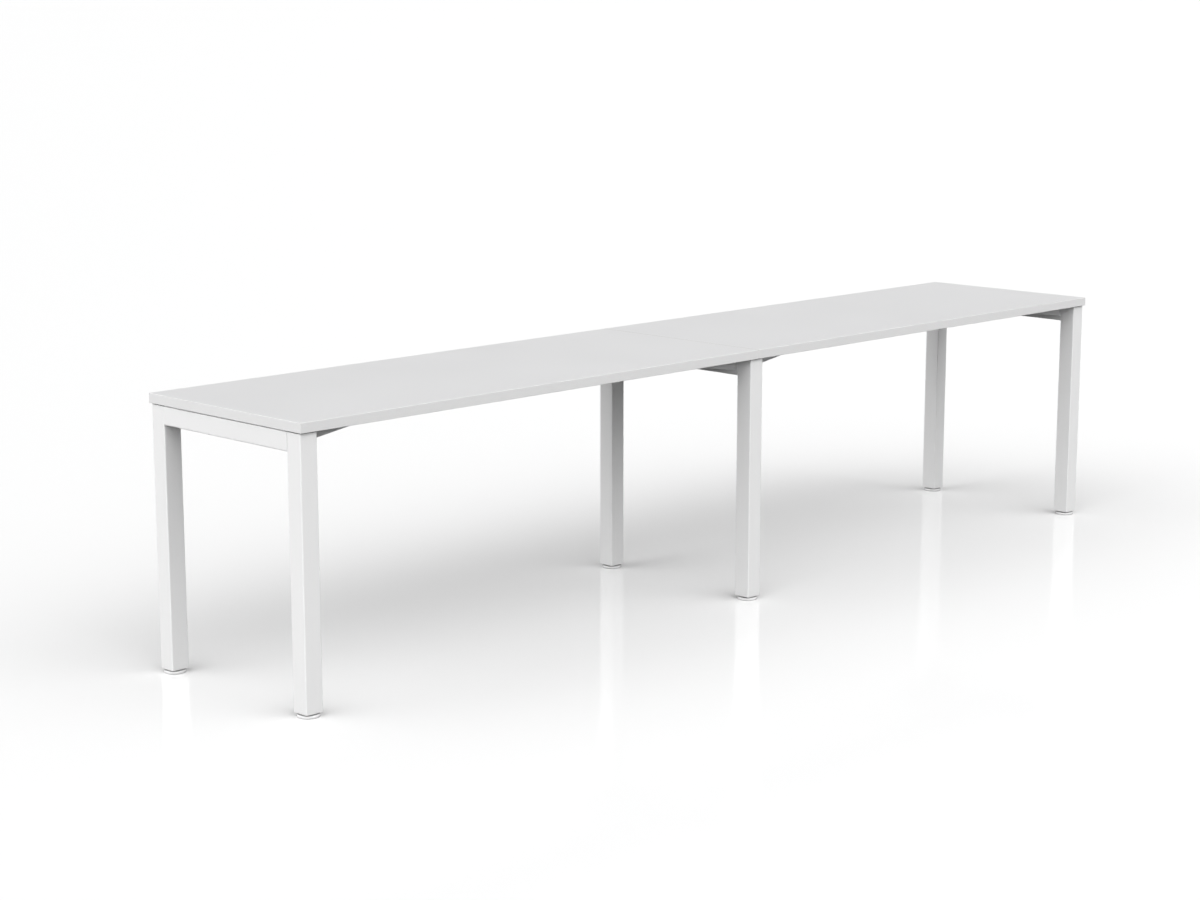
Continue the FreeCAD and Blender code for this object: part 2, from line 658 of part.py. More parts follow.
def check_document():
    """Stop on any failed object, and on any piece without a good shape."""
    doc.recompute()
    for item in doc.Objects:
        if "Invalid" in item.State or "Error" in item.State:
            raise RuntimeError(f"{item.Label} failed: {item.State}")
    for piece in pieces:
        shape = piece.Shape
        if shape.isNull() or not shape.isValid() or not shape.Solids:
            raise RuntimeError(f"{piece.Label} has no good shape")


def export():
    """Write each piece to its own file."""
    os.makedirs("parts", exist_ok=True)
    for piece in pieces:
        piece.Shape.exportStep(f"parts/{piece.Label}.step")
        box = piece.Shape.BoundBox
        print(f"{piece.Label}: {len(piece.Shape.Solids)} solids, {piece.Shape.Volume:.0f} mm3,"
              f" x {box.XMin:.2f} {box.XMax:.2f} y {box.YMin:.2f} {box.YMax:.2f}"
              f" z {box.ZMin:.2f} {box.ZMax:.2f}")


for desk_name in DESKS:
    worktop(desk_name)
    edging(desk_name)
    stretcher(desk_name)
for frame_name in FRAMES:
    rail(frame_name)
    for side_name in SIDES:
        leg(frame_name, side_name)
        leg_insert(frame_name, side_name)
        glide_stud(frame_name, side_name)
        glide_foot(frame_name, side_name)
for face_name in FACES:
    end_plate(face_name)
    for side_name in SIDES:
        wing(face_name, side_name)
leg_caps()
insert_nuts()
fasteners()
check_document()
export()
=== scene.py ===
import json
import math

import bpy
from bpy.props import FloatProperty, FloatVectorProperty, IntProperty, PointerProperty
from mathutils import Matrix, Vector


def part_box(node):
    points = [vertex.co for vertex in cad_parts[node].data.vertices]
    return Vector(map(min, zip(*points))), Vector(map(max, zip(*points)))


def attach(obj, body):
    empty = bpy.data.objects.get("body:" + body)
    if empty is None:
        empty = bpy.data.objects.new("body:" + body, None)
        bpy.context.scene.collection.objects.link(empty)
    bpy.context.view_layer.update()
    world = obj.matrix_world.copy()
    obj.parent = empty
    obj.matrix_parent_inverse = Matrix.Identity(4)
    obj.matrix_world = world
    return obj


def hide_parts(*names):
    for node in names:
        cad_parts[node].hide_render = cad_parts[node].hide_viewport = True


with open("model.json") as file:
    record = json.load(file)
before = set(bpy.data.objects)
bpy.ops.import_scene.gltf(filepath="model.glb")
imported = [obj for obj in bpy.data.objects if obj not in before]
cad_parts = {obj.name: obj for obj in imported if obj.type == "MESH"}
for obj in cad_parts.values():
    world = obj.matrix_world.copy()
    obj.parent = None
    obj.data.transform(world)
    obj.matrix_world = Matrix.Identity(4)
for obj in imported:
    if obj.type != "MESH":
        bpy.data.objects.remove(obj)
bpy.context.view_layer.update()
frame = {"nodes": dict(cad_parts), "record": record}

bl_info = {
    "name": "Two-person desk",
    "version": (1, 0, 0),
    "blender": (4, 5, 0),
    "location": "3D View > Sidebar > Desk",
    "description": "Finishes, threads, welds and studio stage for a desk with two worktops",
    "category": "Object",
}

SLOT_OF_NODE = {part["node"]: part["material_slot"] for part in frame["record"]["subparts"]}
MERGE_DISTANCE = 1e-6


def places_of(prefix):
    """What follows a prefix in the names of the CAD nodes that start with it."""
    return [name[len(prefix):] for name in sorted(frame["nodes"]) if name.startswith(prefix)]


GLIDES = places_of("glide_foot_")
RAILS = places_of("rail_")
END_PLATES = places_of("end_plate_")


# Sizes and colours that a user would change
class DeskFinish(bpy.types.PropertyGroup):
    """Colours and textures of the desk's surfaces."""

    board_colour: FloatVectorProperty(
        name="Worktop", description="Melamine face of the worktops", subtype="COLOR",
        default=(0.75, 0.75, 0.755))
    edging_colour: FloatVectorProperty(
        name="Edging", description="Edging bands of the worktops", subtype="COLOR",
        default=(0.815, 0.815, 0.815))
    paint_colour: FloatVectorProperty(
        name="Frame paint", description="Powder coat on the leg frames and stretchers", subtype="COLOR",
        default=(0.915, 0.915, 0.915))
    # Painted shade: the brackets have the frames' white powder coat; this darker grey paints in the
    # shade they sit in under the worktops.
    bracket_shaded_colour: FloatVectorProperty(
        name="Bracket paint", description="Powder coat on the wing brackets", subtype="COLOR",
        default=(0.72, 0.72, 0.725))
    foot_colour: FloatVectorProperty(
        name="Feet", description="Moulded feet of the glides", subtype="COLOR",
        default=(0.9, 0.9, 0.9))
    plug_colour: FloatVectorProperty(
        name="Plugs", description="Caps and inserts in the leg tubes", subtype="COLOR",
        default=(0.035, 0.035, 0.037))
    zinc_colour: FloatVectorProperty(
        name="Zinc", description="Zinc plate on studs, nuts, bolts and screws", subtype="COLOR",
        default=(0.62, 0.63, 0.645))
    # Also the colour of the painted shade and grime along the worktops' joint.
    dust_and_seam_shade_colour: FloatVectorProperty(
        name="Floor dust", description="Dust that gathers at the feet", subtype="COLOR",
        default=(0.42, 0.41, 0.39))
    board_grain: FloatProperty(
        name="Worktop grain", description="Size of the worktop's embossed grain", unit="LENGTH",
        default=0.0016)
    paint_grain: FloatProperty(
        name="Paint grain", description="Size of the powder coat's orange peel", unit="LENGTH",
        default=0.0022)
    # Painted shade: how far from the worktops' joint the edging is darkened.
    seam_reach: FloatProperty(
        name="Seam reach", description="How far from the worktops' joint dirt shows", unit="LENGTH",
        default=0.0014)
    dust_reach: FloatProperty(
        name="Dust reach", description="How far up from the floor dust shows", unit="LENGTH",
        default=0.03)


class DeskDetail(bpy.types.PropertyGroup):
    """Sizes of the threads and welds."""

    stud_diameter: FloatProperty(
        name="Stud", description="Thread diameter of a glide's stud", unit="LENGTH", default=0.010)
    thread_pitch: FloatProperty(
        name="Pitch", description="Rise of the stud's thread in one turn", unit="LENGTH",
        default=0.0015)
    thread_depth: FloatProperty(
        name="Thread depth", description="Depth of the thread", unit="LENGTH", default=0.0009)
    thread_steps: IntProperty(
        name="Thread steps", description="Facets in one turn of the thread", default=32, min=8)
    collar_height: FloatProperty(
        name="Collar", description="Height of the hexagon that turns a stud", unit="LENGTH",
        default=0.0032)
    collar_base: FloatProperty(
        name="Collar base", description="Underside of the hexagon above the floor", unit="LENGTH",
        default=0.0073)
    collar_lap: FloatProperty(
        name="Collar lap", description="How far shank and thread run into the hexagon",
        unit="LENGTH", default=0.0003)
    collar_chamfer: FloatProperty(
        name="Chamfer", description="Broken edges of the hexagon and the shank", unit="LENGTH",
        default=0.0004)
    weld_radius: FloatProperty(
        name="Weld", description="Radius of a weld bead", unit="LENGTH", default=0.0026)
    weld_ripple: FloatProperty(
        name="Weld ripple", description="Length of one ripple of a bead", unit="LENGTH",
        default=0.0022)
    weld_margin: FloatProperty(
        name="Weld margin", description="End of a bead from the corner of its tube", unit="LENGTH",
        default=0.004)


class DeskStage(bpy.types.PropertyGroup):
    """Camera, light and floor."""

    camera_place: FloatVectorProperty(
        name="Camera", description="Where the camera stands", subtype="TRANSLATION", unit="LENGTH",
        default=(-4.9788, -4.6154, 1.6977))
    camera_yaw: FloatProperty(
        name="Yaw", description="Camera's turn from +Y towards +X", subtype="ANGLE",
        default=math.radians(45.266))
    camera_pitch: FloatProperty(
        name="Pitch", description="Camera's tilt below the horizon", subtype="ANGLE",
        default=math.radians(10.904))
    camera_lens: FloatProperty(
        name="Lens", description="Focal length in millimetres on a 36 mm wide sensor",
        default=72.22)
    low_light: FloatVectorProperty(
        name="Low light", description="Level light from left, right, front and back", size=4,
        default=(2.14, 0.28, 0.57, 0.0))
    high_light: FloatVectorProperty(
        name="High light", description="Light from the same sides, half way up", size=4,
        default=(1.83, 0.23, 2.76, 0.0))
    steep_light: FloatVectorProperty(
        name="Steep light", description="Light from the same sides, high up", size=4,
        default=(0.0, 0.09, 0.0, 0.63))
    floor_size: FloatProperty(
        name="Floor", description="Length of the floor's sides", unit="LENGTH", default=4000.0)
    floor_colour: FloatVectorProperty(
        name="Floor colour", description="Floor as the camera sees it", subtype="COLOR",
        default=(0.85, 0.85, 0.85))
    floor_bounce: FloatVectorProperty(
        name="Floor bounce", description="Floor as the desk's own surfaces see it", subtype="COLOR",
        default=(0.02, 0.02, 0.02))
    floor_gloss: FloatProperty(
        name="Floor gloss", description="Share of light that the floor mirrors", default=0.2)
    floor_roughness: FloatProperty(
        name="Floor roughness", description="Blur of what the floor mirrors", default=0.08)


# Shader nodes
def node_tree(name, inputs, outputs):
    """Empty shader node group with named sockets: pairs of name and socket type."""
    tree = bpy.data.node_groups.new(name, "ShaderNodeTree")
    for socket, kind in inputs:
        tree.interface.new_socket(name=socket, in_out="INPUT", socket_type=kind)
    for socket, kind in outputs:
        tree.interface.new_socket(name=socket, in_out="OUTPUT", socket_type=kind)
    return tree, tree.nodes.new("NodeGroupInput"), tree.nodes.new("NodeGroupOutput")


def feed(tree, socket, value):
    """Link a node's output into a socket, or set the socket to a plain value."""
    if isinstance(value, bpy.types.NodeSocket):
        tree.links.new(value, socket)
    else:
        socket.default_value = value


def math_node(tree, operation, first, second=0.0, clamp=False):
    """Output of a Math node."""
    node = tree.nodes.new("ShaderNodeMath")
    node.operation = operation
    node.use_clamp = clamp
    feed(tree, node.inputs[0], first)
    feed(tree, node.inputs[1], second)
    return node.outputs[0]


def noise_node(tree, scale, detail, stretch=(1.0, 1.0, 1.0)):
    """Output of a noise texture on Object coordinates, stretched along the axes."""
    place = tree.nodes.new("ShaderNodeTexCoord")
    mapping = tree.nodes.new("ShaderNodeMapping")
    mapping.inputs["Scale"].default_value = stretch
    noise = tree.nodes.new("ShaderNodeTexNoise")
    noise.inputs["Detail"].default_value = detail
    feed(tree, mapping.inputs["Vector"], place.outputs["Object"])
    feed(tree, noise.inputs["Vector"], mapping.outputs["Vector"])
    feed(tree, noise.inputs["Scale"], scale)
    return noise.outputs["Fac"]


def mix_colour(tree, share, first, second, blend="MIX"):
    """Output of a colour mix."""
    node = tree.nodes.new("ShaderNodeMix")
    node.data_type = "RGBA"
    node.blend_type = blend
    colours = [socket for socket in node.inputs if socket.type == "RGBA"]
    feed(tree, node.inputs["Factor"], share)
    feed(tree, colours[0], first)
    feed(tree, colours[1], second)
    return [socket for socket in node.outputs if socket.type == "RGBA"][0]


def opaque(colour):
    """Colour with a full alpha."""
    return (colour[0], colour[1], colour[2], 1.0)


def surface_grain():
    """Group: fine grain, faint clouding and uneven gloss for a coated or moulded surface."""
    tree, given, made = node_tree(
        "surface grain",
        [("Colour", "NodeSocketColor"), ("Grain scale", "NodeSocketFloat"),
         ("Grain contrast", "NodeSocketFloat"), ("Cloud contrast", "NodeSocketFloat"),
         ("Roughness", "NodeSocketFloat"), ("Roughness spread", "NodeSocketFloat")],
        [("Colour", "NodeSocketColor"), ("Roughness", "NodeSocketFloat"),
         ("Height", "NodeSocketFloat")])
    cloud_scale = 3.0
    grain = noise_node(tree, given.outputs["Grain scale"], detail=3.0)
    cloud = noise_node(tree, cloud_scale, detail=4.0)
    grain_swing = math_node(tree, "SUBTRACT", grain, 0.5)
    cloud_swing = math_node(tree, "SUBTRACT", cloud, 0.5)
    grain_tint = math_node(tree, "MULTIPLY", grain_swing, given.outputs["Grain contrast"])
    cloud_tint = math_node(tree, "MULTIPLY", cloud_swing, given.outputs["Cloud contrast"])
    tint = math_node(tree, "ADD", math_node(tree, "ADD", grain_tint, cloud_tint), 1.0)
    colour = mix_colour(tree, 1.0, given.outputs["Colour"], tint, "MULTIPLY")
    gloss = math_node(tree, "MULTIPLY", cloud_swing, given.outputs["Roughness spread"])
    feed(tree, made.inputs["Colour"], colour)
    feed(tree, made.inputs["Roughness"], math_node(tree, "ADD", given.outputs["Roughness"], gloss))
    feed(tree, made.inputs["Height"], grain)
    return tree


def floor_dust():
    """Group: dust that thins out upwards from the floor, broken up by noise."""
    tree, given, made = node_tree(
        "floor dust",
        [("Colour", "NodeSocketColor"), ("Dust colour", "NodeSocketColor"),
         ("Reach", "NodeSocketFloat"), ("Amount", "NodeSocketFloat")],
        [("Colour", "NodeSocketColor")])
    speck_scale = 180.0
    place = tree.nodes.new("ShaderNodeTexCoord")
    parts = tree.nodes.new("ShaderNodeSeparateXYZ")
    feed(tree, parts.inputs["Vector"], place.outputs["Object"])
    height = math_node(tree, "DIVIDE", parts.outputs["Z"], given.outputs["Reach"])
    low_down = math_node(tree, "SUBTRACT", 1.0, height, clamp=True)
    thinning = math_node(tree, "MULTIPLY", low_down, low_down)
    specks = noise_node(tree, speck_scale, detail=4.0)
    broken = math_node(tree, "MULTIPLY", thinning, specks)
    share = math_node(tree, "MULTIPLY", broken, given.outputs["Amount"], clamp=True)
    feed(tree, made.inputs["Colour"],
         mix_colour(tree, share, given.outputs["Colour"], given.outputs["Dust colour"]))
    return tree


def seam_shade_and_grime():
    """Group: painted shade, with some grime, on top of the joint between two pieces that meet at X = 0.
    """
    tree, given, made = node_tree(
        "seam shade and grime",
        [("Colour", "NodeSocketColor"), ("Dirt colour", "NodeSocketColor"),
         ("Top", "NodeSocketFloat"), ("Reach", "NodeSocketFloat"), ("Amount", "NodeSocketFloat")],
        [("Colour", "NodeSocketColor")])
    place = tree.nodes.new("ShaderNodeTexCoord")
    parts = tree.nodes.new("ShaderNodeSeparateXYZ")
    feed(tree, parts.inputs["Vector"], place.outputs["Object"])
    apart = math_node(tree, "ABSOLUTE", parts.outputs["X"])
    away = math_node(tree, "DIVIDE", apart, given.outputs["Reach"])
    near = math_node(tree, "SUBTRACT", 1.0, away, clamp=True)
    depth = math_node(tree, "SUBTRACT", given.outputs["Top"], parts.outputs["Z"])
    deep = math_node(tree, "DIVIDE", depth, given.outputs["Reach"])
    on_top = math_node(tree, "SUBTRACT", 1.0, deep, clamp=True)
    # Painted shade: darkens the edging's top near X = 0, where the slit between the worktops falls into
    # shade, with some grime.
    shade_and_grime = math_node(tree, "MULTIPLY", near, on_top)
    share = math_node(tree, "MULTIPLY", shade_and_grime, given.outputs["Amount"], clamp=True)
    feed(tree, made.inputs["Colour"],
         mix_colour(tree, share, given.outputs["Colour"], given.outputs["Dirt colour"]))
    return tree


def rolled_streaks():
    """Group: faint streaks along X, as on extruded edging and drawn steel."""
    tree, given, made = node_tree(
        "rolled streaks",
        [("Colour", "NodeSocketColor"), ("Streak scale", "NodeSocketFloat"),
         ("Contrast", "NodeSocketFloat")],
        [("Colour", "NodeSocketColor"), ("Height", "NodeSocketFloat")])
    along_streak = 0.02
    streak = noise_node(tree, given.outputs["Streak scale"], detail=3.0,
                        stretch=(along_streak, 1.0, 1.0))
    swing = math_node(tree, "SUBTRACT", streak, 0.5)
    contrast = math_node(tree, "MULTIPLY", swing, given.outputs["Contrast"])
    tint = math_node(tree, "ADD", contrast, 1.0)
    feed(tree, made.inputs["Colour"],
         mix_colour(tree, 1.0, given.outputs["Colour"], tint, "MULTIPLY"))
    feed(tree, made.inputs["Height"], streak)
    return tree


def group(name, build):
    """Shared node group, built the first time that it is asked for."""
    return bpy.data.node_groups.get(name) or build()


def place_group(tree, name, build, **values):
    """Group node in a material, with values or links given by socket name."""
    node = tree.nodes.new("ShaderNodeGroup")
    node.node_tree = group(name, build)
    for socket, value in values.items():
        feed(tree, node.inputs[socket.replace("_", " ")], value)
    return node


def blank_material(name):
    """Material with only a Principled shader, and its node tree and shader."""
    material = bpy.data.materials.new(name)
    material.use_nodes = True
    tree = material.node_tree
    shader = tree.nodes["Principled BSDF"]
    return material, tree, shader


def bump(tree, shader, height, strength, distance):
    """Bump of a height on a shader's normal."""
    node = tree.nodes.new("ShaderNodeBump")
    node.inputs["Strength"].default_value = strength
    node.inputs["Distance"].default_value = distance
    feed(tree, node.inputs["Height"], height)
    feed(tree, shader.inputs["Normal"], node.outputs["Normal"])


def grain_into(tree, shader, colour, grain, contrast, clouds, roughness, spread, relief):
    """Surface grain group wired into a shader, and its colour output left for more layers."""
    bump_share = 1 / 8
    node = place_group(tree, "surface grain", surface_grain, Colour=colour,
                       Grain_scale=1.0 / grain, Grain_contrast=contrast, Cloud_contrast=clouds,
                       Roughness=roughness, Roughness_spread=spread)
    feed(tree, shader.inputs["Roughness"], node.outputs["Roughness"])
    bump(tree, shader, node.outputs["Height"], relief, grain * bump_share)
    return node.outputs["Colour"]


def melamine():
    """Worktop face: embossed melamine, matt with a faint clouding."""
    finish = bpy.context.scene.desk_finish
    material, tree, shader = blank_material("melamine_face")
    colour = grain_into(tree, shader, opaque(finish.board_colour), finish.board_grain,
                        contrast=0.025, clouds=0.02, roughness=0.42, spread=0.10, relief=0.25)
    feed(tree, shader.inputs["Base Color"], colour)
    return material


def edging_plastic():
    """Edging band: extruded plastic with faint streaks, and painted shade with some grime along the
    worktops' joint.
    """
    finish = bpy.context.scene.desk_finish
    material, tree, shader = blank_material("edging_plastic")
    streaks = place_group(tree, "rolled streaks", rolled_streaks,
                          Colour=opaque(finish.edging_colour), Streak_scale=900.0, Contrast=0.05)
    colour = grain_into(tree, shader, streaks.outputs["Colour"], finish.board_grain,
                        contrast=0.02, clouds=0.01, roughness=0.36, spread=0.08, relief=0.15)
    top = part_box("worktop_left")[1].z
    # Painted shade: the edging is darkened along the worktops' joint, standing in for the shade in the
    # slit between the worktops.
    shaded_and_grimy = place_group(tree, "seam shade and grime", seam_shade_and_grime, Colour=colour,
                        Dirt_colour=opaque(finish.dust_and_seam_shade_colour), Top=top,
                        Reach=finish.seam_reach, Amount=1.6)
    feed(tree, shader.inputs["Base Color"], shaded_and_grimy.outputs["Colour"])
    return material


def powder_coat(name, colour):
    """Powder coat with orange peel, and floor dust low down."""
    finish = bpy.context.scene.desk_finish
    material, tree, shader = blank_material(name)
    coated = grain_into(tree, shader, opaque(colour), finish.paint_grain,
                        contrast=0.02, clouds=0.015, roughness=0.38, spread=0.10, relief=0.20)
    dusty = place_group(tree, "floor dust", floor_dust, Colour=coated,
                        Dust_colour=opaque(finish.dust_and_seam_shade_colour), Reach=finish.dust_reach,
                        Amount=0.35)
    feed(tree, shader.inputs["Base Color"], dusty.outputs["Colour"])
    return material


def foot_nylon():
    """Moulded foot: glossy nylon with dust round its rim."""
    finish = bpy.context.scene.desk_finish
    rim_share = 1 / 6
    material, tree, shader = blank_material("foot_nylon")
    moulded = grain_into(tree, shader, opaque(finish.foot_colour), finish.paint_grain,
                         contrast=0.02, clouds=0.02, roughness=0.24, spread=0.10, relief=0.10)
    dusty = place_group(tree, "floor dust", floor_dust, Colour=moulded,
                        Dust_colour=opaque(finish.dust_and_seam_shade_colour),
                        Reach=finish.dust_reach * rim_share, Amount=0.5)
    feed(tree, shader.inputs["Base Color"], dusty.outputs["Colour"])
    return material


def plug_plastic():
    """Caps and inserts: dark moulded plastic."""
    finish = bpy.context.scene.desk_finish
    material, tree, shader = blank_material("plug_plastic")
    colour = grain_into(tree, shader, opaque(finish.plug_colour), finish.paint_grain,
                        contrast=0.15, clouds=0.10, roughness=0.5, spread=0.15, relief=0.25)
    feed(tree, shader.inputs["Base Color"], colour)
    return material


def zinc_plate():
    """Zinc plated steel: bright, with drawn streaks and uneven gloss."""
    finish = bpy.context.scene.desk_finish
    material, tree, shader = blank_material("zinc_plate")
    streaks = place_group(tree, "rolled streaks", rolled_streaks,
                          Colour=opaque(finish.zinc_colour), Streak_scale=1500.0, Contrast=0.2)
    colour = grain_into(tree, shader, streaks.outputs["Colour"], finish.board_grain,
                        contrast=0.10, clouds=0.05, roughness=0.32, spread=0.2, relief=0.12)
    feed(tree, shader.inputs["Base Color"], colour)
    shader.inputs["Metallic"].default_value = 1.0
    return material


def dress(slot, material):
    """Give every CAD node of one material slot its finish."""
    for node, node_slot in SLOT_OF_NODE.items():
        if node_slot == slot:
            mesh = frame["nodes"][node].data
            mesh.materials.clear()
            mesh.materials.append(material)


def finish_piece(piece, name, material, body):
    """Name, material, slot and body of a new piece."""
    piece.name = name
    piece.data.name = name
    piece.data.materials.clear()
    piece.data.materials.append(material)
    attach(piece, body)


# Modelling helpers
def deselect():
    """Nothing selected, in object mode."""
    if bpy.context.mode != "OBJECT":
        bpy.ops.object.mode_set(mode="OBJECT")
    bpy.ops.object.select_all(action="DESELECT")


def apply_modifier(piece, kind, **settings):
    """Add a modifier with its settings and apply it."""
    modifier = piece.modifiers.new(kind.lower(), kind)
    for name, value in settings.items():
        setattr(modifier, name, value)
    bpy.ops.object.modifier_apply(modifier=modifier.name)


def join(pieces):
    """One object of several."""
    deselect()
    for piece in pieces:
        piece.select_set(True)
    bpy.context.view_layer.objects.active = pieces[0]
    if len(pieces) > 1:
        bpy.ops.object.join()
    return pieces[0]


def clean_shell(piece, angle):
    """Merge doubles, turn the faces outwards and smooth all but sharp edges."""
    deselect()
    piece.select_set(True)
    bpy.context.view_layer.objects.active = piece
    bpy.ops.object.mode_set(mode="EDIT")
    bpy.ops.mesh.select_all(action="SELECT")
    bpy.ops.mesh.remove_doubles(threshold=MERGE_DISTANCE)
    bpy.ops.mesh.normals_make_consistent(inside=False)
    bpy.ops.object.mode_set(mode="OBJECT")
    bpy.ops.object.shade_smooth_by_angle(angle=angle)


def copies(piece, count):
    """A piece and its copies, each with its own mesh."""
    pieces = [piece]
    while len(pieces) < count:
        twin = piece.copy()
        twin.data = piece.data.copy()
        bpy.context.collection.objects.link(twin)
        pieces.append(twin)
    return pieces


def set_down(piece, place):
    """Move a piece by its place, and keep the place in its mesh."""
    deselect()
    piece.select_set(True)
    bpy.context.view_layer.objects.active = piece
    piece.location = place
    bpy.ops.object.transform_apply(location=True, rotation=True, scale=True)


def thread(low, high):
    """Right-hand thread about Z from low to high, cut flat and closed at both ends."""
    detail = bpy.context.scene.desk_detail
    crest = detail.stud_diameter / 2
    root = crest - detail.thread_depth
    pitch = detail.thread_pitch
    crest_start = 0.4
    crest_end = 0.6
    spare_turns = 2
    turns = math.ceil((high - low) / pitch) + spare_turns
    start = low - pitch
    deselect()
    bpy.ops.mesh.primitive_circle_add(vertices=4, radius=crest, fill_type="NOTHING")
    piece = bpy.context.object
    profile = [(root, 0.0), (crest, crest_start), (crest, crest_end), (root, 1.0)]
    for corner, (reach, share) in zip(piece.data.vertices, profile):
        corner.co = (reach, 0.0, start + share * pitch)
    bpy.ops.object.mode_set(mode="EDIT")
    bpy.ops.mesh.select_mode(type="EDGE")
    bpy.ops.mesh.select_all(action="DESELECT")
    bpy.ops.object.mode_set(mode="OBJECT")
    for edge in piece.data.edges:
        edge.select = set(edge.vertices) == {0, 3}
    bpy.ops.object.mode_set(mode="EDIT")
    bpy.ops.mesh.delete(type="EDGE")
    bpy.ops.object.mode_set(mode="OBJECT")
    apply_modifier(piece, "SCREW", screw_offset=pitch, iterations=turns,
                   steps=detail.thread_steps, render_steps=detail.thread_steps,
                   use_merge_vertices=True, merge_threshold=MERGE_DISTANCE)
    bpy.ops.object.mode_set(mode="EDIT")
    for level, side in ((low, "clear_inner"), (high, "clear_outer")):
        bpy.ops.mesh.select_all(action="SELECT")
        bpy.ops.mesh.remove_doubles(threshold=MERGE_DISTANCE)
        bpy.ops.mesh.bisect(plane_co=(0, 0, level), plane_no=(0, 0, 1), use_fill=True,
                            **{side: True})
    bpy.ops.object.mode_set(mode="OBJECT")
    return piece


def chamfered_bar(low, high, radius, sides):
    """Bar about Z, round or with flats, with its sharp edges broken."""
    detail = bpy.context.scene.desk_detail
    sharp_edge = math.radians(40)
    deselect()
    middle = (low + high) / 2
    bpy.ops.mesh.primitive_cylinder_add(vertices=sides, radius=radius, depth=high - low,
                                        location=(0, 0, middle))
    piece = bpy.context.object
    bpy.ops.object.transform_apply(location=True, rotation=True, scale=True)
    apply_modifier(piece, "BEVEL", width=detail.collar_chamfer, segments=2,
                   limit_method="ANGLE", angle_limit=sharp_edge)
    return piece


def threaded_stud(low, high, corner_radius):
    """Stud about Z from low to high: a shank, a hexagon collar and a thread above it."""
    detail = bpy.context.scene.desk_detail
    shank_sides = 32
    smooth_below = math.radians(30)
    collar_low = detail.collar_base
    collar_high = collar_low + detail.collar_height
    shank = chamfered_bar(low, collar_low + detail.collar_lap, detail.stud_diameter / 2, shank_sides)
    collar = chamfered_bar(collar_low, collar_high, corner_radius, 6)
    stud = join([thread(collar_high - detail.collar_lap, high), collar, shank])
    clean_shell(stud, smooth_below)
    return stud


def weld_bead(start, end):
    """Rippled bead along the corner from start to end."""
    detail = bpy.context.scene.desk_detail
    valley = detail.weld_radius * 0.86
    swell = 1.16
    slope_share = 0.3
    crest_share = 0.4
    smooth_below = math.radians(70)
    run = Vector(end) - Vector(start)
    ripples = max(2, round(run.length / detail.weld_ripple))
    ripple = run.length / ripples
    deselect()
    bpy.ops.mesh.primitive_circle_add(vertices=12, radius=valley, fill_type="NOTHING")
    piece = bpy.context.object
    bpy.ops.object.mode_set(mode="EDIT")
    for share, growth in ((slope_share, swell), (crest_share, 1.0), (slope_share, 1 / swell)):
        bpy.ops.mesh.extrude_region_move(TRANSFORM_OT_translate={"value": (0, 0, share * ripple)})
        bpy.ops.transform.resize(value=(growth, growth, 1.0))
    bpy.ops.object.mode_set(mode="OBJECT")
    apply_modifier(piece, "ARRAY", count=ripples, use_relative_offset=False,
                   use_constant_offset=True, constant_offset_displace=(0, 0, ripple),
                   use_merge_vertices=True, merge_threshold=MERGE_DISTANCE)
    bpy.ops.object.mode_set(mode="EDIT")
    bpy.ops.mesh.select_all(action="SELECT")
    bpy.ops.mesh.fill_holes(sides=0)
    bpy.ops.object.mode_set(mode="OBJECT")
    piece.rotation_mode = "QUATERNION"
    piece.rotation_quaternion = run.to_track_quat("Z", "Y")
    piece.location = start
    bpy.ops.object.transform_apply(location=True, rotation=True, scale=True)
    clean_shell(piece, smooth_below)
    return piece


def rail_weld(low, high, margin):
    """Beads under both ends of a rail with this box, about X = 0."""
    half = (high.x - low.x) / 2 - margin
    beads = [weld_bead((-half, y, low.z), (half, y, low.z)) for y in (low.y, high.y)]
    return join(beads)


def stretcher_weld(low, high, margin):
    """Beads round the end of a stretcher with this box, at X = 0."""
    beads = []
    for y in (low.y, high.y):
        beads.append(weld_bead((0, y, low.z + margin), (0, y, high.z - margin)))
    for z in (low.z, high.z):
        beads.append(weld_bead((0, low.y + margin, z), (0, high.y - margin, z)))
    return join(beads)


# Pieces
class DESK_OT_worktops(bpy.types.Operator):
    """Melamine on the two worktops"""

    bl_idname = "desk.worktops"
    bl_label = "Worktops"

    def execute(self, context):
        dress("worktop_board", melamine())
        return {"FINISHED"}


class DESK_OT_edging(bpy.types.Operator):
    """Plastic on the edging bands"""

    bl_idname = "desk.edging"
    bl_label = "Edging"

    def execute(self, context):
        dress("edging_band", edging_plastic())
        return {"FINISHED"}


class DESK_OT_frames(bpy.types.Operator):
    """Powder coat on legs, rails, stretchers and end plates"""

    bl_idname = "desk.frames"
    bl_label = "Leg frames"

    def execute(self, context):
        finish = context.scene.desk_finish
        dress("frame_paint", powder_coat("frame_paint", finish.paint_colour))
        return {"FINISHED"}


class DESK_OT_wings(bpy.types.Operator):
    """Powder coat on the wing brackets, in a darker grey that paints the shade under the worktops"""

    bl_idname = "desk.wings"
    bl_label = "Wing brackets"

    def execute(self, context):
        finish = context.scene.desk_finish
        # Painted shade: a darker grey than the frames stands in for the shade under the worktops.
        dress("bracket_paint", powder_coat("bracket_paint", finish.bracket_shaded_colour))
        return {"FINISHED"}


class DESK_OT_feet(bpy.types.Operator):
    """Nylon on the glides' feet"""

    bl_idname = "desk.feet"
    bl_label = "Feet"

    def execute(self, context):
        dress("foot_plastic", foot_nylon())
        return {"FINISHED"}


class DESK_OT_plugs(bpy.types.Operator):
    """Plastic on the caps and inserts of the legs"""

    bl_idname = "desk.plugs"
    bl_label = "Leg plugs"

    def execute(self, context):
        dress("plug_plastic", plug_plastic())
        return {"FINISHED"}


class DESK_OT_fasteners(bpy.types.Operator):
    """Zinc plate on bolts, nuts and screws"""

    bl_idname = "desk.fasteners"
    bl_label = "Fasteners"

    def execute(self, context):
        dress("zinc_steel", zinc_plate())
        return {"FINISHED"}


